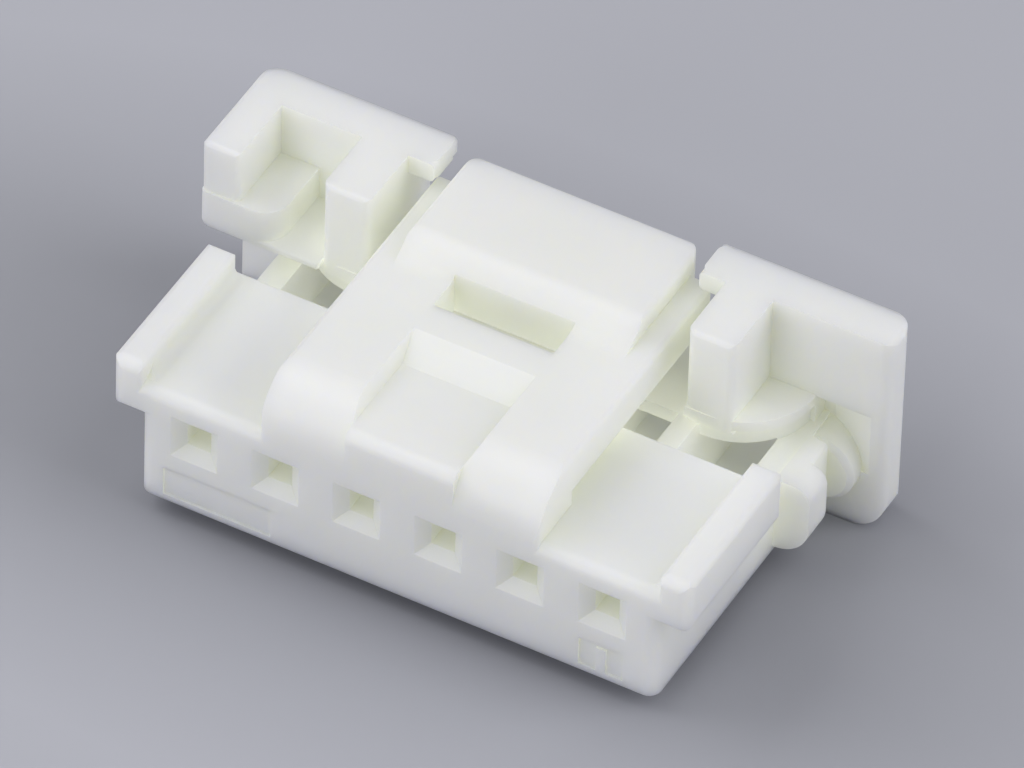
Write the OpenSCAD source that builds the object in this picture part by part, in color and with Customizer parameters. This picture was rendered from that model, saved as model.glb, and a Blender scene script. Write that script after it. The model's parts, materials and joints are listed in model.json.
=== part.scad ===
// Housing of a wire to board connector, one row of positions, moulded in one piece.
// Millimetres, +Z up. X runs along the row and Y from the mating face to the wire side.
// The origin lies on the mating face, midway along the row, at the height of the contacts.

/* [Contacts] */
// Number of positions in the row
circuits = 6; // [6:1:10]
// Distance from one position to the next
pitch = 2; // [1.9:0.1:2.5]
// Height of the contact row above the underside
row_height = 1.97; // [1.8:0.01:2.3]
// Side of the square hole that takes a header pin
pin_hole = 0.58; // [0.5:0.02:0.7]
// Side of the square mouth that guides the pin
pin_mouth = 1.16; // [0.9:0.02:1.3]
// Depth of the guiding mouth
mouth_depth = 0.24; // [0.15:0.01:0.4]
// Thickness of the wall with the pin holes
front_wall = 0.9; // [0.8:0.05:1.2]

/* [Terminal cavities] */
// Width of a cavity along the row
cavity_width = 1.5; // [1.3:0.05:1.6]
// Thickness of the wall under the cavities
cavity_floor = 0.5; // [0.4:0.05:0.7]
// Height of the ceiling of a cavity above the contact row, behind the slot
cavity_rise = 0.13; // [0.05:0.01:0.3]
// Depth of the bay for the contact box below the contact row
bay_below = 0.72; // [0.6:0.02:0.9]
// Height of the bay for the contact box above the contact row
bay_above = 0.68; // [0.6:0.02:0.9]

/* [Body] */
// Distance from the last contact to the side of the body
end_margin = 1.34; // [1.1:0.02:1.6]
// Thickness of the front deck over the bays
deck_wall = 0.43; // [0.3:0.01:0.7]
// Length of the front deck
deck_length = 4.2; // [4:0.05:5]
// Length of the rear part with the collar
rear_length = 2.66; // [2.5:0.02:3.4]
// Rounding of the upright front edges of the body
front_round = 0.3; // [0.1:0.02:0.4]
// Rounding of the top front edge of the deck and the rails
deck_round = 0.28; // [0.15:0.01:0.35]
// Rounding of the long edges of decks and walls
soft_edge = 0.12; // [0.05:0.01:0.16]

/* [Side rails] */
// Width of a rail outside the body
rail_overhang = 0.72; // [0.5:0.02:1]
// Height of a rail above the front deck
rail_rise = 0.54; // [0.3:0.02:0.8]
// Height of a rail from its underside to its top
rail_height = 1.32; // [1:0.02:1.6]
// Width of the top of a rail
rail_width = 0.74; // [0.5:0.02:0.8]
// Distance from the rear of a rail to the rear of the front deck
rail_setback = 0.05; // [0:0.05:0.4]
// Rounding of the outer top edge of a rail
rail_round = 0.16; // [0.1:0.01:0.4]
// Hollow rounding between a rail and the front deck
rail_foot = 0.3; // [0.1:0.02:0.4]
// Rounding of the lower front edge of a rail
rail_bow = 0.1; // [0.05:0.05:0.4]

/* [Retainer slot] */
// Length of the open slot across the cavities
slot_length = 1.5; // [1.2:0.05:1.8]
// Height of the side walls at the slot above the contact row
slot_side_rise = 0.08; // [0:0.02:0.2]
// Height of the walls between cavities above the side walls at the slot
slot_wall_rise = 0.45; // [0.2:0.05:0.6]

/* [Rear deck] */
// Thickness of the deck under the latch
latch_deck_wall = 0.35; // [0.3:0.01:0.6]
// Height of the deck on either side of the latch above the deck under it
deck_step = 0.4; // [0.3:0.01:0.6]
// Thickness of the lip at the front of the rear deck
lip_height = 0.27; // [0.2:0.01:0.35]
// How far the lip stands out over the slot
lip_reach = 0.12; // [0.06:0.01:0.2]
// Radius of the round outer corners of the rear deck
deck_corner = 1.75; // [1.2:0.05:1.8]
// Distance from the side of the body to the rear deck
deck_inset = 0.14; // [0.05:0.01:0.3]

/* [Collar] */
// Thickness of the collar
collar_thick = 1.04; // [0.9:0.02:1.2]
// How far the collar stands out beside the body
collar_overhang = 1.62; // [1.4:0.01:2]
// How far the collar reaches below the underside
collar_drop = 0.48; // [0.4:0.02:0.8]
// Rounding of the lower right corner of the collar
collar_round = 0.9; // [0.2:0.05:1]
// Rounding of the lower left corner of the collar
collar_left_round = 0.15; // [0.1:0.05:0.9]
// Rounding of the upright front edge at the right end of the collar
collar_front_round = 0.25; // [0.1:0.01:0.4]
// Rounding of the upright rear corners of the collar
collar_rear_round = 0.5; // [0.3:0.05:0.6]
// Depth of the hollow in the front of the collar
hollow_depth = 0.45; // [0.2:0.05:0.6]
// Length of the sloping end of the hollow
hollow_slope = 1.1; // [0.3:0.05:1.3]
// Distance from the end of the collar to the hollow
hollow_margin = 0.4; // [0.3:0.05:0.7]
// Distance from the top of the hollow to the top of the rear deck
hollow_cover = 0.03; // [0.01:0.01:0.2]

/* [Ears] */
// Height of the ears above the latch arm
ear_rise = 0.65; // [0.55:0.01:0.9]
// Length of the ears in front of the collar
ear_length = 1.92; // [1.6:0.02:2]
// Width of the post beside the latch
post_width = 1.15; // [0.9:0.05:1.3]
// Rounding of the edges of the post
post_round = 0.18; // [0.1:0.01:0.3]
// How far the post stands back from the front of the ear
post_setback = 0.2; // [0.1:0.05:0.3]
// Length of the finger that reaches over the latch
finger_reach = 0.64; // [0.5:0.01:0.8]
// Thickness of the finger
finger_thick = 0.5; // [0.4:0.02:0.6]
// Length of the finger from front to rear
finger_length = 1; // [0.9:0.05:1.2]
// Rounding of the upright edges of the finger
finger_round = 0.25; // [0.1:0.05:0.3]
// Thickness of the outer wall of the left ear
ear_wall = 0.92; // [0.7:0.02:1]
// How far the outer wall of the left ear stands back from its step
wall_setback = 0.06; // [0:0.01:0.2]
// Distance from the underside of the left ear up to the rear deck
ear_drop = 0.13; // [0.05:0.01:0.25]
// Height of the step in the left ear
step_height = 0.98; // [0.7:0.02:1.2]
// Width of the step in the left ear
step_width = 1.88; // [1.5:0.01:2]
// Rounding of the inner front corner of the step
step_round = 0.6; // [0.3:0.05:0.8]

/* [Latch] */
// Width of the latch arm
latch_width = 6.8; // [6:0.05:7.2]
// Free space on each side of the latch arm
latch_gap = 0.5; // [0.35:0.01:0.6]
// Free space between the front deck and the latch arm
arm_gap = 0.42; // [0.3:0.01:0.6]
// Thickness of the latch arm
arm_thick = 0.95; // [0.8:0.01:1.1]
// Length of the root that joins the arm to the front deck
root_length = 1.5; // [1.4:0.05:2]
// Radius of the round nose of the arm
nose_round = 1.3; // [1:0.05:1.35]
// Distance from the end of the arm to the rear of the pad
arm_setback = 0.56; // [0.4:0.02:0.8]
// Width of the floor of the hollow in the top of the arm
hollow_width = 2.65; // [2.2:0.05:3]
// Length of the hollow in the top of the arm
hollow_length = 3.3; // [3:0.05:3.6]
// Depth of the hollow in the top of the arm
hollow_sink = 0.34; // [0.2:0.01:0.45]
// Length of the slope that ends the hollow at the rear
hollow_ramp = 0.8; // [0.4:0.1:1.5]
// Run of the sloping sides of the hollow for each unit of depth
hollow_draft = 0.5; // [0.2:0.1:2]
// Rounding of the top front edge of the floor of the hollow
hollow_lip = 0.3; // [0.1:0.05:0.4]
// Length of the window through the arm
window_length = 0.95; // [0.8:0.05:1.1]
// Width of the window
window_width = 2.95; // [2.6:0.05:3.4]

/* [Press pad] */
// Width of the pad that the thumb presses
pad_width = 5.7; // [5:0.05:5.9]
// Length of the pad with the slope in front of it
pad_length = 3.35; // [3.2:0.01:3.8]
// Height of the pad above the arm
pad_rise = 0.47; // [0.35:0.01:0.55]
// Length of the slope in front of the pad
pad_slope = 0.65; // [0.5:0.05:0.9]
// Rounding where the slope meets the pad, and hollow rounding at its foot
pad_blend = 0.6; // [0.3:0.05:0.8]
// How far the window reaches into the slope
pad_window = 0.16; // [0.1:0.01:0.45]
// Distance from the rear of the pad to the wire side
pad_setback = 0.1; // [0:0.02:0.3]
// Rounding of the upright rear corners of the pad
pad_round = 0.45; // [0.3:0.05:0.6]

/* [Side key] */
// How far the key stands out beside the body
key_reach = 0.84; // [0.7:0.02:1.1]
// Length of the key
key_length = 0.8; // [0.6:0.05:1]
// Height of the top of the key above the side walls at the slot
key_rise = 0.07; // [0.02:0.01:0.2]
// Height of the underside of the key
key_foot = 0.12; // [0.05:0.01:0.3]
// Rounding of the lower outer edge of the key
key_radius = 0.85; // [0.6:0.05:1]
// Rounding of the upper outer edge of the key
key_round = 0.4; // [0.2:0.05:0.5]
// How far the neck behind the key stands out beside the body
neck_reach = 0.44; // [0.3:0.02:0.6]
// How much higher the underside of the neck is than that of the key
neck_step = 0.25; // [0.1:0.05:0.5]
// Rounding of the lower outer edge of the neck
neck_round = 0.5; // [0.1:0.05:0.6]
// Length of the neck behind the key
neck_length = 0.75; // [0.5:0.05:0.9]
// Gap between the neck and the boss
boss_gap = 0.1; // [0.1:0.05:0.25]
// Length of the boss in front of the collar
boss_length = 0.4; // [0.2:0.05:0.5]
// Radius of the boss
boss_radius = 0.86; // [0.7:0.02:0.9]
// How far the middle of the boss lies outside the body
boss_offset = 0.14; // [0:0.02:0.3]
// Bevel round the front of the boss
boss_bevel = 0.12; // [0.05:0.01:0.2]

/* [Front panels] */
// Depth of the sunk panels in the mating face
panel_depth = 0.06; // [0.03:0.01:0.1]
// Height of the panels above the underside
panel_foot = 0.16; // [0.1:0.02:0.3]
// Height of the sunk panels
panel_height = 0.76; // [0.6:0.02:0.8]
// Distance from the side of the body to the wide bare panel
panel_margin = 0.59; // [0.4:0.01:0.8]
// Width of the wide bare panel
panel_width = 2.65; // [2:0.05:2.8]
// Width of the small panel under the last position
mark_width = 1.08; // [0.8:0.02:1.2]
// Width of the bar in the small panel
bar_width = 0.24; // [0.15:0.01:0.3]
// Distance from the top of the bar to the top of the small panel
bar_gap = 0.1; // [0.05:0.01:0.2]

/* [Hidden] */
$fn = 48;
plastic = [0.9, 0.905, 0.89];
// How far a solid runs on into its neighbour, and how far two faces pass each other
reach = 1;
sink = 0.01;
row_span = (circuits - 1) * pitch;
wall_thick = pitch - cavity_width;
body_half = row_span / 2 + end_margin;
rail_half = body_half + rail_overhang;
collar_half = body_half + collar_overhang;
deck_half = body_half - deck_inset;
latch_half = latch_width / 2;
post_inner = latch_half + latch_gap;
post_outer = post_inner + post_width;
finger_tip = post_inner - finger_reach;
slot_front = deck_length;
slot_back = slot_front + slot_length;
overall_length = slot_back + rear_length;
collar_front = overall_length - collar_thick;
ear_front = collar_front - ear_length;
post_front = ear_front + post_setback;
pad_end = overall_length - pad_setback;
pad_foot = pad_end - pad_length;
arm_end = pad_end - arm_setback;
window_back = pad_foot + pad_window;
window_front = window_back - window_length;
boss_front = collar_front - boss_length;
neck_end = boss_front - boss_gap;
key_front = neck_end - neck_length - key_length;
bay_floor = row_height - bay_below;
bay_roof = row_height + bay_above;
deck_height = bay_roof + deck_wall;
rail_length = deck_length - rail_setback;
rail_top = deck_height + rail_rise;
rail_under = rail_top - rail_height;
slot_side_height = row_height + slot_side_rise;
slot_wall_height = slot_side_height + slot_wall_rise;
cavity_roof = row_height + cavity_rise;
latch_deck = cavity_roof + latch_deck_wall;
rear_deck = latch_deck + deck_step;
arm_under = deck_height + arm_gap;
arm_top = arm_under + arm_thick;
hollow_floor = arm_top - hollow_sink;
pad_top = arm_top + pad_rise;
ear_height = arm_top + ear_rise;
step_under = rear_deck - ear_drop;
step_top = step_under + step_height;
key_top = slot_side_height + key_rise;
boss_height = (key_top + key_foot) / 2;
panel_top = panel_foot + panel_height;

// Takes one corner off a flat outline; turn points from the corner into the outline.
module round_corner(corner, turn, radius) {
    if (radius > 0)
        translate(corner)
            difference() {
                square(2 * radius, center = true);
                translate(radius * turn)
                    circle(radius);
            }
}

// The sliver between a corner and the arc that rounds it; a and b point along its two sides.
module corner_sliver(corner, a, b, radius) {
    u = a / norm(a);
    v = b / norm(b);
    middle = (u + v) / norm(u + v);
    half = acos(u * v) / 2;
    start = corner + radius / tan(half) * u;
    end = corner + radius / tan(half) * v;
    back = sink * middle;
    difference() {
        polygon([start, start - back, corner - back, end - back, end]);
        translate(corner + radius / sin(half) * middle)
            circle(radius);
    }
}

// A flat rectangle with its own radius at each corner, from the low left one round.
module soft_rect(low, high, radii = [0, 0, 0, 0]) {
    difference() {
        translate(low)
            square(high - low);
        round_corner(low, [1, 1], radii[0]);
        round_corner([high.x, low.y], [-1, 1], radii[1]);
        round_corner(high, [-1, -1], radii[2]);
        round_corner([low.x, high.y], [1, -1], radii[3]);
    }
}

// Draws an X and Z outline out along Y.
module along_y(from, to) {
    translate([0, to, 0])
        rotate([90, 0, 0])
            linear_extrude(to - from)
                children();
}

// Draws a Y and Z outline out along X.
module along_x(from, to) {
    translate([from, 0, 0])
        rotate([90, 0, 90])
            linear_extrude(to - from)
                children();
}

// Draws an X and Y outline out along Z.
module along_z(from, to) {
    translate([0, 0, from])
        linear_extrude(to - from)
            children();
}

// A block between two corners.
module block(low, high) {
    translate(low)
        cube(high - low);
}

// Places a copy at every contact position.
module each_contact() {
    for (i = [0:circuits - 1])
        translate([(i - (circuits - 1) / 2) * pitch, 0, 0])
            children();
}

// The same shape on the right and on the left.
module both_sides() {
    children();
    mirror([1, 0, 0])
        children();
}

// The front deck with its round upright edges.
module front_deck() {
    r = front_round;
    intersection() {
        along_z(0, deck_height)
            soft_rect([-body_half, 0], [body_half, deck_length], [r, r, 0, 0]);
        along_x(-body_half, body_half)
            soft_rect([0, 0], [deck_length, deck_height], [0, 0, soft_edge, deck_round]);
    }
}

// The side view that a rail and its root share, up to a given height.
module rail_side(height) {
    along_x(0, rail_half)
        soft_rect([0, rail_under], [rail_length, height], [rail_bow, 0, soft_edge, deck_round]);
}

// The part of the rail that joins it to the front deck.
module rail_root() {
    intersection() {
        along_y(0, rail_length)
            soft_rect([body_half - reach, rail_under], [rail_half - rail_width + front_round, deck_height]);
        rail_side(deck_height);
    }
}

// The hollow rounding between the rail and the deck, which runs out at the front edge.
module rail_fillet() {
    intersection() {
        along_y(0, rail_length - soft_edge)
            corner_sliver([rail_half - rail_width, deck_height], [-1, 0], [0, 1], rail_foot);
        along_x(0, rail_half)
            polygon([
                [deck_round - reach, deck_height - reach],
                [rail_length, deck_height - reach],
                [rail_length, deck_height + reach],
                [deck_round + reach, deck_height + reach],
            ]);
    }
}

// A raised rail along the side of the front deck.
module side_rail() {
    r = soft_edge;
    inner = rail_half - rail_width;
    intersection() {
        along_y(0, rail_length)
            soft_rect([inner, rail_under], [rail_half, rail_top], [0, r, rail_round, r]);
        rail_side(rail_top);
        along_z(0, rail_top)
            soft_rect([inner, 0], [rail_half, rail_length], [r, front_round, r, r]);
    }
    rail_root();
    rail_fillet();
}

// The trough that carries the cavities from front to rear.
module lower_body() {
    block([-body_half, deck_length - reach, 0], [body_half, collar_front + reach / 2, slot_side_height]);
}

// The walls between the cavities, as high as the slot leaves them.
module slot_walls() {
    for (i = [1:circuits - 1])
        translate([(i - circuits / 2) * pitch, 0, 0])
            block([-wall_thick / 2, slot_front - sink, 0],
                [wall_thick / 2, slot_back + lip_reach + sink, slot_wall_height]);
}

// The outline of the rear deck seen from above.
module rear_outline(half, front) {
    r = deck_corner;
    soft_rect([-half, front], [half, collar_front + reach / 2], [r, r, 0, 0]);
}

// The deck behind the slot, with its lip and the channel for the latch.
module rear_body() {
    lip_front = slot_back - lip_reach;
    difference() {
        union() {
            along_z(0, rear_deck - sink)
                rear_outline(deck_half - lip_reach, slot_back);
            along_z(rear_deck - lip_height, rear_deck)
                rear_outline(deck_half, lip_front);
        }
        block([-post_inner, lip_front - reach, latch_deck], [post_inner, overall_length + reach, ear_height]);
    }
}

// The collar and its two ears, seen from the front.
module collar_outline() {
    r = soft_edge;
    soft_rect([-collar_half, -collar_drop], [collar_half, latch_deck], [collar_left_round, collar_round, 0, 0]);
    both_sides() {
        soft_rect([post_inner, latch_deck - sink], [collar_half, ear_height], [0, 0, r, 0]);
        soft_rect([finger_tip, ear_height - finger_thick], [post_inner + r, ear_height], [r, 0, 0, r]);
    }
}

// The finger at the top of each ear, longer than the collar is thick.
module finger() {
    r = soft_edge;
    u = finger_round;
    f = overall_length - finger_length;
    intersection() {
        along_z(ear_height - finger_thick, ear_height)
            soft_rect([finger_tip, f], [post_inner + r, overall_length], [u, 0, 0, u]);
        along_x(finger_tip, post_inner + r)
            soft_rect([f, ear_height - finger_thick], [overall_length, ear_height], [r, 0, 0, r]);
    }
}

// The collar round the wire side.
module collar() {
    f = collar_front_round;
    r = collar_rear_round;
    intersection() {
        along_y(collar_front, overall_length)
            collar_outline();
        along_z(-collar_drop, ear_height)
            soft_rect([-collar_half, collar_front], [collar_half, overall_length], [0, f, r, r]);
    }
    both_sides()
        finger();
}

// The post of an ear, beside the latch.
module ear_post() {
    r = post_round;
    intersection() {
        along_z(latch_deck - sink, ear_height)
            soft_rect([post_inner, post_front], [post_outer, collar_front + reach / 2], [r, r, 0, 0]);
        along_x(post_inner, post_outer)
            soft_rect([post_front, 0], [collar_front + reach / 2, ear_height], [0, 0, 0, soft_edge]);
    }
}

// The outer wall and the step of the left ear, drawn on the right and mirrored later.
module ear_step() {
    r = soft_edge;
    wall_inner = collar_half - ear_wall;
    step_inner = collar_half - step_width;
    back = collar_front + sink;
    wall_front = ear_front + wall_setback;
    intersection() {
        along_z(step_under, step_top)
            soft_rect([step_inner, ear_front], [collar_half, back], [step_round, r, 0, 0]);
        along_y(ear_front, back)
            soft_rect([step_inner, step_under], [collar_half, step_top], [0, 2 * r, 0, 0]);
    }
    intersection() {
        along_z(step_under, ear_height)
            soft_rect([wall_inner, wall_front], [collar_half, back], [r, r, 0, 0]);
        along_x(wall_inner, collar_half)
            soft_rect([wall_front, step_under], [back, ear_height], [0, 0, 0, r]);
        along_y(ear_front, back)
            soft_rect([wall_inner, step_under], [collar_half, ear_height], [0, 0, r, 0]);
    }
    along_x(post_outer - sink, collar_half - step_round)
        soft_rect([ear_front, step_under], [back, rear_deck], [0, 0, 0, ear_drop / 2]);
}

// The side view of the latch arm with its root and round nose.
module arm_profile() {
    difference() {
        union() {
            translate([0, deck_height - reach / 2])
                square([root_length, arm_top - deck_height + reach / 2]);
            translate([0, arm_under])
                square([arm_end, arm_top - arm_under]);
        }
        round_corner([0, arm_top], [1, -1], min(nose_round, arm_top - deck_height));
    }
}

// The side view of the pad with the slope in front of it.
module pad_profile() {
    foot = [pad_foot, arm_top];
    crest = [pad_foot + pad_slope, pad_top];
    difference() {
        polygon([[pad_foot, arm_under], [pad_end, arm_under], [pad_end, pad_top], crest, foot]);
        round_corner([pad_end, pad_top], [-1, -1], soft_edge);
        round_corner([pad_end, arm_under], [-1, 1], soft_edge);
        corner_sliver(crest, [1, 0], foot - crest, pad_blend);
    }
    corner_sliver(foot, [-1, 0], crest - foot, pad_blend);
}

// The long arm of the latch.
module latch_arm() {
    r = soft_edge;
    intersection() {
        along_x(-latch_half, latch_half)
            arm_profile();
        along_y(0, arm_end)
            soft_rect([-latch_half, 0], [latch_half, arm_top], [0, 0, r, r]);
        along_z(0, arm_top)
            soft_rect([-latch_half, 0], [latch_half, arm_end], [r, r, r, r]);
    }
}

// The raised pad at the end of the arm.
module press_pad() {
    half = pad_width / 2;
    r = soft_edge;
    p = pad_round;
    intersection() {
        along_x(-half, half)
            pad_profile();
        along_y(pad_foot - pad_slope, pad_end)
            soft_rect([-half, 0], [half, pad_top], [0, 0, r, r]);
        along_z(0, pad_top)
            soft_rect([-half, pad_foot - pad_slope], [half, pad_end], [0, 0, p, p]);
    }
}

// The flat front piece between the two round parts of the nose, up to the floor of the hollow.
module nose_block() {
    along_x(-hollow_width / 2, hollow_width / 2)
        soft_rect([0, deck_height - reach / 2], [nose_round, hollow_floor], [0, 0, 0, hollow_lip]);
}

// The hollow in the top of the arm, open at the nose, with a slope at its rear.
module arm_hollow() {
    w = hollow_width / 2;
    top = hollow_floor + reach;
    run = hollow_ramp * reach / hollow_sink;
    intersection() {
        along_y(-reach, hollow_length + run)
            polygon([[-w, hollow_floor], [w, hollow_floor],
                [w + hollow_draft * reach, top], [-w - hollow_draft * reach, top]]);
        along_x(-latch_half, latch_half)
            polygon([[-reach, hollow_floor], [hollow_length - hollow_ramp, hollow_floor],
                [hollow_length - hollow_ramp + run, top], [-reach, top]]);
    }
}

// The window through the arm, in front of the pad.
module arm_window() {
    w = window_width / 2;
    block([-w, window_front, arm_under - reach / 4], [w, window_back, pad_top + reach]);
}

// The whole latch, one with the body at its nose.
module latch() {
    difference() {
        union() {
            latch_arm();
            press_pad();
        }
        arm_hollow();
        arm_window();
    }
    nose_block();
}

// The key on the right side of the body, with its neck and the round boss behind it.
module side_key() {
    neck_foot = key_foot + neck_step;
    intersection() {
        union() {
            along_y(key_front, key_front + key_length)
                soft_rect([body_half - reach, key_foot], [body_half + key_reach, key_top],
                    [0, key_radius, key_round, 0]);
            along_y(key_front + sink, neck_end)
                soft_rect([body_half - reach, neck_foot], [body_half + neck_reach, key_top],
                    [0, neck_round, soft_edge, 0]);
            along_y(key_front + sink, boss_front + sink)
                soft_rect([body_half - reach, neck_foot], [body_half + neck_reach / 2, slot_side_height],
                    [0, soft_edge, soft_edge, 0]);
            translate([body_half + boss_offset, boss_front, boss_height])
                rotate([-90, 0, 0]) {
                    cylinder(h = boss_bevel, r1 = boss_radius - boss_bevel, r2 = boss_radius);
                    translate([0, 0, boss_bevel])
                        cylinder(h = collar_front - boss_front + hollow_depth + sink - boss_bevel, r = boss_radius);
                }
        }
        block([body_half - sink, key_front, 0], [collar_half, overall_length - sink, ear_height]);
    }
}

// The wedge hollowed out of the front of the collar behind the side key.
module collar_hollow() {
    inner = deck_half - sink;
    outer = collar_half - hollow_margin;
    along_z(boss_height, rear_deck - hollow_cover)
        polygon([
            [inner, collar_front - sink],
            [outer, collar_front - sink],
            [outer - hollow_slope, collar_front + hollow_depth],
            [inner, collar_front + hollow_depth],
        ]);
}

// The square mouth, the pin hole and the cavity of one position.
module contact_cavity() {
    m = pin_mouth / 2;
    p = pin_hole / 2;
    w = cavity_width / 2;
    intersection() {
        along_z(row_height - m, row_height + m)
            polygon([[-m, 0], [m, 0], [p, mouth_depth], [-p, mouth_depth]]);
        translate([0, 0, row_height])
            along_x(-m, m)
                polygon([[0, -m], [mouth_depth, -p], [mouth_depth, p], [0, m]]);
    }
    block([-p, -sink, row_height - p], [p, front_wall + sink, row_height + p]);
    block([-w, front_wall, bay_floor], [w, slot_front + sink, bay_roof]);
    block([-w, slot_front, cavity_floor], [w, slot_back, slot_wall_height + sink]);
    block([-w, slot_back - sink, cavity_floor], [w, overall_length + reach, cavity_roof]);
}

// A sunk panel in the mating face, between two places along the row.
module sunk_panel(from, to) {
    block([from, -reach, panel_foot], [to, panel_depth, panel_top]);
}

// The two sunk panels: a wide bare one, and a small one with a plain bar.
module front_panels() {
    left = panel_margin - body_half;
    middle = row_span / 2;
    bar = bar_width / 2;
    sunk_panel(left, left + panel_width);
    difference() {
        sunk_panel(middle - mark_width / 2, middle + mark_width / 2);
        block([middle - bar, -reach, panel_foot - sink], [middle + bar, reach, panel_top - bar_gap]);
    }
}

// The complete moulding.
module housing() {
    color(plastic)
        translate([0, 0, -row_height])
            difference() {
                union() {
                    front_deck();
                    both_sides()
                        side_rail();
                    lower_body();
                    slot_walls();
                    rear_body();
                    difference() {
                        collar();
                        collar_hollow();
                    }
                    both_sides()
                        ear_post();
                    mirror([1, 0, 0])
                        ear_step();
                    latch();
                    side_key();
                }
                each_contact()
                    contact_cavity();
                front_panels();
            }
}

housing();
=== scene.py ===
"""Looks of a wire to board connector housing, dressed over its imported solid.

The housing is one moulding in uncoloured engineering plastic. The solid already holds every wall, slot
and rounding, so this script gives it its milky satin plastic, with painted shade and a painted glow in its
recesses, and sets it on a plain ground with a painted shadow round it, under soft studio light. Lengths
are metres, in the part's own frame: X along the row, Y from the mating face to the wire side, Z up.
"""

from __future__ import annotations

import json
import logging
import math
from dataclasses import dataclass, field
from enum import Enum
from typing import Mapping, Sequence, Union

import bpy
import numpy as np
from mathutils import Matrix, Vector


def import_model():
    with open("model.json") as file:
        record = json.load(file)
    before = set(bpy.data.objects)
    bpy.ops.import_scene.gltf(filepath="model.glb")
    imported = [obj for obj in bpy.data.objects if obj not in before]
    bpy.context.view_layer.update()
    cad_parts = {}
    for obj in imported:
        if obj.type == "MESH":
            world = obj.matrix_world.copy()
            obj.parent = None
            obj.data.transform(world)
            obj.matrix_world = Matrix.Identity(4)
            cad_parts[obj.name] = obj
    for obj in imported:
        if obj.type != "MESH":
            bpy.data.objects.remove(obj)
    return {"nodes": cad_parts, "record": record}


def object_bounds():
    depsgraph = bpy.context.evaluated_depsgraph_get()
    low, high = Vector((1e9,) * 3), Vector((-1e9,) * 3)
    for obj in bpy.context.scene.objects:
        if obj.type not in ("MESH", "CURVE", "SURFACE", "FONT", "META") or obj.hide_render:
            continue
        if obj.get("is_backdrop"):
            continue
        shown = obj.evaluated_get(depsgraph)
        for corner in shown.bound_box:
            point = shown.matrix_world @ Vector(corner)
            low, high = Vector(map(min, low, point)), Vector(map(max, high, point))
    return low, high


LOG = logging.getLogger("connector_housing")
MM = 0.001

Triple = tuple[float, float, float]
Source = Union["Term", bpy.types.NodeSocket, float, Sequence[float]]


class Tone(Enum):
    """The colours of the moulding and its surroundings, as linear red, green and blue."""

    PLASTIC = (0.90, 0.903, 0.902)
    PLASTIC_CLOUD = (0.892, 0.898, 0.886)
    # Painted shade: the darker, warmer colour that recesses and inner corners take.
    PAINTED_RECESS_SHADE = (0.72, 0.74, 0.63)
    # Painted glow: the colour that recesses emit, and none where nothing glows.
    PAINTED_GLOW_COLOUR = (0.93, 0.95, 0.80)
    NO_PAINTED_GLOW = (0.0, 0.0, 0.0)
    GROUND = (0.505, 0.511, 0.568)
    # Painted shadow: the ground's darker colour round the housing.
    GROUND_PAINTED_SHADOW = (0.265, 0.27, 0.303)
    SKY = (0.97, 0.98, 1.0)

    @property
    def rgba(self) -> tuple[float, float, float, float]:
        """The tone with full alpha, as a colour socket takes it."""
        return (*self.value, 1.0)


class Term:
    """A value in a material, on which Python's operators add Math nodes.

    A formula such as ``1 - mask * 0.5`` reads as written: each operator places one Math node and wraps its
    output.
    """

    def __init__(self, bench: "Bench", socket: bpy.types.NodeSocket) -> None:
        """Wraps a socket.

        Args:
            bench: The bench whose node tree holds the socket.
            socket: The output that carries the value.
        """
        self.bench = bench
        self.socket = socket

    def _math(self, operation: str, *operands: Source) -> "Term":
        """Adds one Math node.

        Args:
            operation: Blender's name of the operation.
            *operands: Its inputs, in order.

        Returns:
            The node's value.
        """
        inputs = dict(enumerate(operands))
        return self.bench.add("ShaderNodeMath", {"operation": operation}, inputs)

    def __add__(self, other: Source) -> "Term":
        """The sum of two values."""
        return self._math("ADD", self, other)

    __radd__ = __add__

    def __sub__(self, other: Source) -> "Term":
        """This value less the other."""
        return self._math("SUBTRACT", self, other)

    def __rsub__(self, other: Source) -> "Term":
        """The other value less this one."""
        return self._math("SUBTRACT", other, self)

    def __mul__(self, other: Source) -> "Term":
        """The product of two values."""
        return self._math("MULTIPLY", self, other)

    def above(self, low: float, high: float) -> "Term":
        """A soft step.

        Args:
            low: Where the step leaves 0.
            high: Where it reaches 1.

        Returns:
            ``t * t * (3 - 2 t)`` with ``t = (value - low) / (high - low)`` held between 0 and 1.
        """
        settings = {"interpolation_type": "SMOOTHSTEP"}
        inputs = {"Value": self, "From Min": low, "From Max": high}
        return self.bench.add("ShaderNodeMapRange", settings, inputs)


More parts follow.
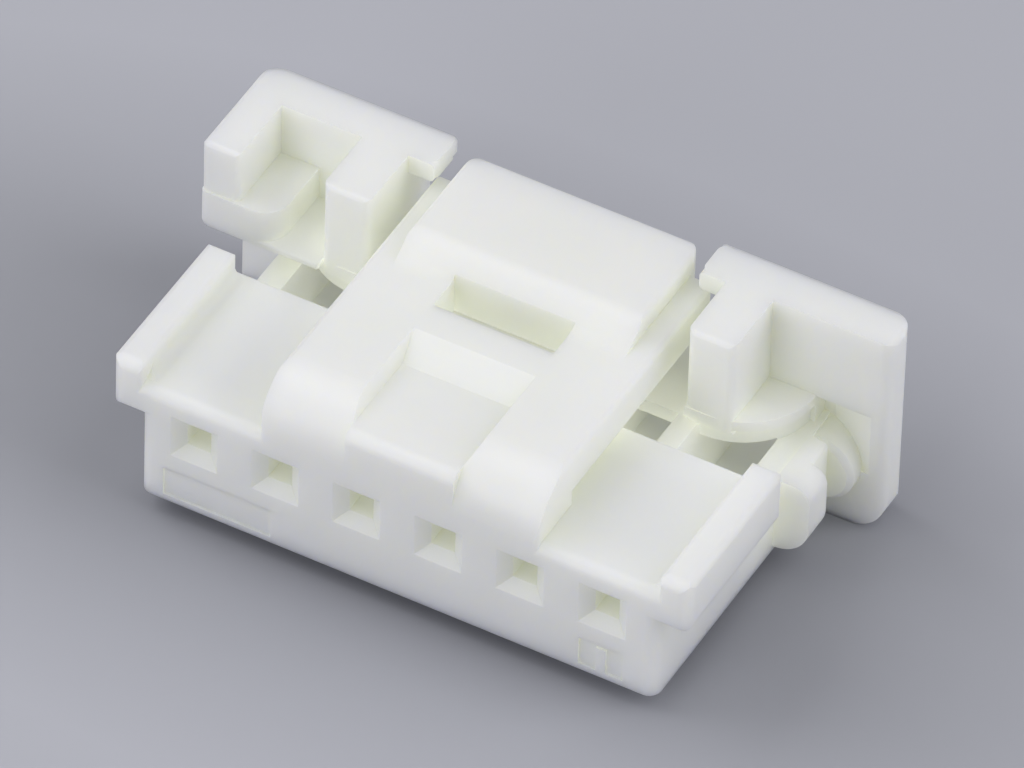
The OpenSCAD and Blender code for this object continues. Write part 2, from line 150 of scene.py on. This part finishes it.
class Bench:
    """A material being built: it places nodes and joins them."""

    def __init__(self, name: str) -> None:
        """Starts an empty material.

        Args:
            name: The material's name.
        """
        self.material = bpy.data.materials.new(name)
        self.material.use_nodes = True
        self.tree = self.material.node_tree
        self.tree.nodes.clear()

    def add(
        self,
        kind: str,
        settings: Mapping[str, object] | None = None,
        inputs: Mapping[str | int, Source] | None = None,
        output: str | int = 0,
    ) -> Term:
        """Places one node of any type.

        Args:
            kind: The node's type.
            settings: Attributes set before its sockets are filled.
            inputs: What each named or numbered socket takes: a link, a number or a colour.
            output: The output to hand back.

        Returns:
            That output, wrapped for use in an expression.
        """
        node = self.tree.nodes.new(kind)
        for key, value in (settings or {}).items():
            setattr(node, key, value)
        for key, value in (inputs or {}).items():
            self.fill(node.inputs[key], value)
        return Term(self, node.outputs[output])

    def fill(self, socket: bpy.types.NodeSocket, value: Source) -> None:
        """Gives one input its link or its fixed value.

        Args:
            socket: The input.
            value: What it takes.
        """
        if isinstance(value, Term):
            value = value.socket
        if isinstance(value, bpy.types.NodeSocket):
            self.tree.links.new(value, socket)
        else:
            socket.default_value = value

    def place(self) -> Term:
        """The point on the piece, in the piece's own metres."""
        return self.add("ShaderNodeTexCoord", output="Object")

    def noise(self, point: Term, size: float, detail: float, stretch: Sequence[float] = (1, 1, 1)) -> Term:
        """A cloudy value about one half.

        Args:
            point: Where it is read.
            size: The length of one cloud, in metres.
            detail: How many finer octaves it holds.
            stretch: How many times longer a cloud is along X, Y and Z.

        Returns:
            The noise's value, from 0 to 1.
        """
        scale = tuple(1 / (size * s) for s in stretch)
        moved = self.add("ShaderNodeMapping", {"vector_type": "POINT"}, {"Vector": point, "Scale": scale})
        return self.add("ShaderNodeTexNoise", None, {"Vector": moved, "Scale": 1.0, "Detail": detail})

    def halo(self, point: Term, middle: Sequence[float], half: Sequence[float]) -> Term:
        """A value that falls off evenly round a place.

        Args:
            point: Where it is read.
            middle: The place where it is 1.
            half: How far off it reaches 0 along X, Y and Z.

        Returns:
            The value, from 0 to 1.
        """
        scale = tuple(1 / h for h in half)
        offset = tuple(-m / h for m, h in zip(middle, half))
        inputs = {"Vector": point, "Location": offset, "Scale": scale}
        moved = self.add("ShaderNodeMapping", {"vector_type": "POINT"}, inputs)
        return self.add("ShaderNodeTexGradient", {"gradient_type": "SPHERICAL"}, {"Vector": moved}, "Fac")

    def blend(self, share: Source, first: Source, second: Source) -> Term:
        """Mixes two colours.

        Args:
            share: How much of the second shows.
            first: The colour at a share of 0.
            second: The colour at a share of 1.

        Returns:
            The mixed colour.
        """
        node = self.tree.nodes.new("ShaderNodeMix")
        node.data_type = "RGBA"
        for socket, value in ((node.inputs[0], share), (node.inputs[6], first), (node.inputs[7], second)):
            self.fill(socket, value)
        return Term(self, node.outputs[2])

    def finish(self, shader: Term) -> bpy.types.Material:
        """Joins a shader to the material's output.

        Args:
            shader: The shader.

        Returns:
            The finished material.
        """
        end = self.tree.nodes.new("ShaderNodeOutputMaterial")
        self.fill(end.inputs["Surface"], shader)
        return self.material


@dataclass(frozen=True)
class MilkyPlastic:
    """Uncoloured nylon as it leaves the mould: satin and slightly milky, with a darker, warmer painted
    shade and a painted glow in its recesses.

    Attributes:
        roughness: Roughness of the flat faces.
        roughness_play: How far it strays from that over the faces.
        roughness_cloud: Length of the clouds in the roughness.
        index: The plastic's index of refraction.
        depth: How far light runs inside the plastic.
        colour_depth: The share of that depth that red, green and blue light run.
        cloud: Length of the faint clouds in the colour.
        cloud_edge: The values of the clouds' noise at which the second colour starts and is full.
        grain: Length of the fine grain of the mould's faces.
        streak: Width of the fine draw lines on the upright faces.
        streak_stretch: How many times longer than wide a line is, along X, Y and Z.
        relief: Depth of the grain and the lines.
        relief_strength: How strongly they tilt the surface, where 1 is fully.
        painted_shade_reach: How far a recess reaches before its painted shade fades.
        painted_shade_share: How much of the painted shade colour shows in a closed recess.
        painted_glow: How bright the painted glow in a deep recess is, where 1 is white.
        slot_painted_glow: How much brighter the painted glow is in the open slot and the gap beside the
            latch.
        painted_glow_drop: How far below the slot's mount the painted glow is strongest.
        painted_glow_reach: How far round that place it shows, along X, Y and Z.
    """

    roughness: float = 0.40
    roughness_play: float = 0.10
    roughness_cloud: float = 2.2 * MM / 3
    index: float = 1.53
    depth: float = 1.1 * MM
    colour_depth: Triple = (1.0, 0.95, 0.75)
    cloud: float = 2.2 * MM
    cloud_edge: tuple[float, float] = (0.35, 0.7)
    grain: float = 0.06 * MM
    streak: float = 0.09 * MM
    streak_stretch: Triple = (1, 1, 22)
    relief: float = 0.004 * MM
    relief_strength: float = 0.25
    painted_shade_reach: float = 1.3 * MM
    painted_shade_share: float = 0.85
    painted_glow: float = 0.15
    slot_painted_glow: float = 0.72
    painted_glow_drop: float = 0.58 * MM
    painted_glow_reach: Triple = (12 * MM, 2.2 * MM, 3.0 * MM)

    def material(self, slot: Vector) -> bpy.types.Material:
        """Builds the plastic.

        Args:
            slot: The middle of the open slot, in the piece's own metres.

        Returns:
            A Principled material whose colour, roughness and normal follow the piece's own coordinates.
        """
        bench = Bench("natural_plastic")
        point = bench.place()
        cloud = bench.noise(point, self.cloud, 1.0)
        base = bench.blend(cloud.above(*self.cloud_edge), Tone.PLASTIC.rgba, Tone.PLASTIC_CLOUD.rgba)
        nearby = {"samples": 1, "only_local": True}
        # Painted shade: ambient occlusion darkens and warms the colour in recesses and inner corners.
        shelter = 1 - bench.add("ShaderNodeAmbientOcclusion", nearby, {"Distance": self.painted_shade_reach}, "AO")
        colour = bench.blend(shelter * self.painted_shade_share, base, Tone.PAINTED_RECESS_SHADE.rgba)
        # Painted glow: emission laid into recesses, strongest round the open slot, standing in for light
        # carried through the plastic.
        glow = bench.halo(point, slot - Vector((0, 0, self.painted_glow_drop)), self.painted_glow_reach)
        strength = glow * self.slot_painted_glow + self.painted_glow
        painted_glow = bench.blend(shelter * strength, Tone.NO_PAINTED_GLOW.rgba, Tone.PAINTED_GLOW_COLOUR.rgba)
        grain = bench.noise(point, self.grain, 0.0)
        streaks = bench.noise(point, self.streak, 1.0, self.streak_stretch)
        height = grain * 0.5 + streaks * 0.5
        relief = {"Strength": self.relief_strength, "Distance": self.relief, "Height": height}
        bump = bench.add("ShaderNodeBump", None, relief)
        stray = bench.noise(point, self.roughness_cloud, 1.0) - 0.5
        shader = bench.add(
            "ShaderNodeBsdfPrincipled",
            {"subsurface_method": "RANDOM_WALK"},
            {
                "Base Color": colour,
                "Roughness": self.roughness + stray * self.roughness_play * 2,
                "IOR": self.index,
                "Subsurface Weight": 1.0,
                "Subsurface Radius": self.colour_depth,
                "Subsurface Scale": self.depth,
                "Emission Color": painted_glow,
                "Emission Strength": 1.0,
                "Normal": bump,
            },
        )
        bench.material.cycles.emission_sampling = "NONE"
        return bench.finish(shader)


@dataclass(frozen=True)
class MatteGround:
    """The smooth grey sheet that the housing stands on, with a painted shadow along the row round the
    housing.

    Attributes:
        roughness: Roughness of the sheet.
        sheen: How much it mirrors at a steep look, where 0.5 is usual.
        cloud: Length of the faint clouds in its colour.
        cloud_share: How much of the darker colour a cloud adds.
        half: How far the painted shadow reaches along X, Y and Z.
    """

    roughness: float = 0.85
    sheen: float = 0.2
    cloud: float = 60 * MM
    cloud_share: float = 0.05
    half: Triple = (23 * MM, 11 * MM, 60 * MM)

    def material(self, middle: Vector) -> bpy.types.Material:
        """Builds the ground's finish.

        Args:
            middle: The centre of the painted shadow.

        Returns:
            A matte material with a painted shadow and the faintest clouds in its colour.
        """
        bench = Bench("matte_ground")
        point = bench.place()
        # Painted shadow: the ground's colour darkens round the housing, with faint random clouds added.
        painted_shadow_and_cloud = bench.halo(point, middle, self.half) + bench.noise(point, self.cloud, 1.0) * self.cloud_share
        colour = bench.blend(painted_shadow_and_cloud, Tone.GROUND.rgba, Tone.GROUND_PAINTED_SHADOW.rgba)
        shader = bench.add(
            "ShaderNodeBsdfPrincipled",
            None,
            {"Base Color": colour, "Roughness": self.roughness, "Specular IOR Level": self.sheen},
        )
        return bench.finish(shader)


@dataclass
class Housing:
    """The moulding itself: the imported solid, dressed in its plastic.

    Attributes:
        node: The name of its node.
        open_slot: The name of the mount in the middle of its open slot.
        finish: The plastic.
    """

    node: str = "housing"
    open_slot: str = "retainer_slot"
    finish: MilkyPlastic = field(default_factory=MilkyPlastic)

    def dress(self, piece: bpy.types.Object, record: Mapping[str, object]) -> bpy.types.Object:
        """Gives the solid its plastic.

        Args:
            piece: The node's object.
            record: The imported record, which holds the mounts.

        Returns:
            The same object.
        """
        mounts = {mount["name"]: mount for mount in record["mounts"]}
        slot = Vector(mounts[self.open_slot]["pos_m"])
        piece.data.materials.clear()
        piece.data.materials.append(self.finish.material(slot))
        return piece


@dataclass(frozen=True)
class Lamp:
    """A soft square lamp that looks at the middle of the housing.

    Attributes:
        name: The lamp's name.
        azimuth: Where it stands, in degrees: 0 is in front of the mating face, 90 beyond the right end.
        elevation: Its height above the horizon, in degrees.
        distance: Its distance.
        side: The length of its side.
        radiance: How bright its face is, where 1 is white.
    """

    name: str
    azimuth: float
    elevation: float
    distance: float
    side: float
    radiance: float

    def place(self, target: Vector) -> bpy.types.Object:
        """Hangs the lamp.

        Args:
            target: What it looks at.

        Returns:
            The lamp's object. A square lamp's power is pi times its radiance times its area.
        """
        lamp = bpy.data.lights.new(self.name, "AREA")
        lamp.shape = "SQUARE"
        lamp.size = self.side
        lamp.energy = math.pi * self.radiance * self.side**2
        lamp.color = (1.0, 1.0, 1.0)
        away = heading(self.azimuth, self.elevation)
        holder = bpy.data.objects.new(self.name, lamp)
        holder.location = target + away * self.distance
        holder.rotation_euler = (-away).to_track_quat("-Z", "Y").to_euler()
        bpy.context.scene.collection.objects.link(holder)
        return holder


def heading(azimuth: float, elevation: float) -> Vector:
    """A direction away from the housing.

    Args:
        azimuth: Degrees round the housing: 0 is in front of the mating face, 90 beyond the right end.
        elevation: Degrees above the horizon.

    Returns:
        ``(sin a cos e, -cos a cos e, sin e)``.
    """
    a, e = math.radians(azimuth), math.radians(elevation)
    return Vector((math.sin(a) * math.cos(e), -math.cos(a) * math.cos(e), math.sin(e)))


@dataclass
class Studio:
    """The plain set: ground, lamps, sky and camera.

    Attributes:
        reach: Half the width of the ground.
        steps: Grid steps across the ground.
        lamps: The soft lamps.
        sky: How bright the even light from all round is, where 1 is white.
        azimuth: The camera's place round the housing, in degrees.
        elevation: The camera's height above the horizon, in degrees.
        roll: How far the camera leans to its left, in degrees.
        distance: The camera's distance from its target.
        target: What the camera looks at, behind the mating face and above the contact row.
        frame_width: The length that the picture's width spans at the target.
        shift: How far the picture's middle lies from the target, as shares of its width.
    """

    reach: float = 600 * MM
    steps: int = 24
    lamps: Sequence[Lamp] = (
        Lamp("overhead", 190, 72, 220 * MM, 220 * MM, 0.35),
        Lamp("left", 275, 48, 240 * MM, 180 * MM, 2.15),
        Lamp("front_left", 330, 45, 240 * MM, 180 * MM, 0.85),
        Lamp("right", 105, 55, 240 * MM, 180 * MM, 1.15),
        Lamp("right_card", 105, 24, 240 * MM, 180 * MM, 2.0),
        Lamp("front_card", 350, 14, 240 * MM, 160 * MM, 2.05),
    )
    sky: float = 0.13
    azimuth: float = 27.855
    elevation: float = 43.961
    roll: float = 1.816
    distance: float = 333.97 * MM
    target: Vector = field(default_factory=lambda: Vector((0, 4.0, 0.53)) * MM)
    frame_width: float = 21.995 * MM
    shift: tuple[float, float] = (0.02282, 0.01355)

    def ground(self, low: Vector, high: Vector) -> bpy.types.Object:
        """Lays the ground under the housing.

        Args:
            low: The lowest corner of the housing's box.
            high: Its highest corner.

        Returns:
            A flat square grid: ``(x, y, low.z)`` with x and y from -reach to reach.
        """
        line = np.linspace(-self.reach, self.reach, self.steps + 1)
        x, y = np.meshgrid(line, line, indexing="ij")
        points = np.stack([x, y, np.full_like(x, low.z)], axis=-1).reshape(-1, 3)
        cell = np.arange(self.steps)
        corner = (cell[:, None] * (self.steps + 1) + cell[None, :]).ravel()
        faces = np.stack([corner, corner + self.steps + 1, corner + self.steps + 2, corner + 1], axis=-1)
        mesh = bpy.data.meshes.new("ground")
        mesh.from_pydata(points.tolist(), [], faces.tolist())
        # The ground's material paints a shadow round the middle of the housing's box.
        mesh.materials.append(MatteGround().material((low + high) / 2))
        sheet = bpy.data.objects.new("ground", mesh)
        bpy.context.scene.collection.objects.link(sheet)
        sheet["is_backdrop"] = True
        return sheet

    def light(self) -> list[bpy.types.Object]:
        """Lights the sky and hangs the lamps.

        Returns:
            The lamps.
        """
        bpy.context.scene.world = self.even_sky()
        return [lamp.place(self.target) for lamp in self.lamps]

    def even_sky(self) -> bpy.types.World:
        """Builds the even light from all round.

        Returns:
            A world that lights the set with the sky's tone and shows the camera the ground's tone.
        """
        world = bpy.data.worlds.new("even_sky")
        world.use_nodes = True
        nodes, links = world.node_tree.nodes, world.node_tree.links
        nodes.clear()
        rays = nodes.new("ShaderNodeLightPath")
        even = nodes.new("ShaderNodeBackground")
        even.inputs["Color"].default_value = Tone.SKY.rgba
        even.inputs["Strength"].default_value = self.sky
        seen = nodes.new("ShaderNodeBackground")
        seen.inputs["Color"].default_value = Tone.GROUND.rgba
        seen.inputs["Strength"].default_value = 1.0
        choice = nodes.new("ShaderNodeMixShader")
        output = nodes.new("ShaderNodeOutputWorld")
        links.new(rays.outputs["Is Camera Ray"], choice.inputs["Fac"])
        links.new(even.outputs[0], choice.inputs[1])
        links.new(seen.outputs[0], choice.inputs[2])
        links.new(choice.outputs[0], output.inputs["Surface"])
        return world

    def camera(self) -> bpy.types.Object:
        """Sets the camera at the viewing angle.

        Returns:
            The camera, looking at the target with its small roll and shift.
        """
        lens = bpy.data.cameras.new("camera")
        lens.sensor_width = 36.0
        lens.lens = lens.sensor_width * self.distance / self.frame_width
        lens.shift_x, lens.shift_y = self.shift
        lens.clip_start = 0.1 * self.distance
        lens.clip_end = 10 * self.distance
        away = heading(self.azimuth, self.elevation)
        right = Vector((math.cos(math.radians(self.azimuth)), math.sin(math.radians(self.azimuth)), 0))
        up = away.cross(right)
        lean = math.radians(self.roll)
        leaned_right = math.cos(lean) * right + math.sin(lean) * up
        leaned_up = math.cos(lean) * up - math.sin(lean) * right
        turn = Matrix((leaned_right, leaned_up, away)).transposed().to_4x4()
        eye = bpy.data.objects.new("camera", lens)
        eye.matrix_world = Matrix.Translation(self.target + away * self.distance) @ turn
        bpy.context.scene.collection.objects.link(eye)
        bpy.context.scene.camera = eye
        return eye


def main() -> None:
    """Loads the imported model, dresses it and sets the scene."""
    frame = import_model()
    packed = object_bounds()
    scene = bpy.context.scene
    scene.view_settings.view_transform = "Standard"
    studio = Studio()
    studio.camera()
    housing = Housing()
    piece = housing.dress(frame["nodes"][housing.node], frame["record"])
    LOG.info("dressed %s: %d faces", piece.name, len(piece.data.polygons))
    studio.ground(*packed)
    for lamp in studio.light():
        LOG.info("hung %s", lamp.name)


if __name__ == "__main__":
    logging.basicConfig(level=logging.INFO, format="%(name)s: %(message)s")
    main()
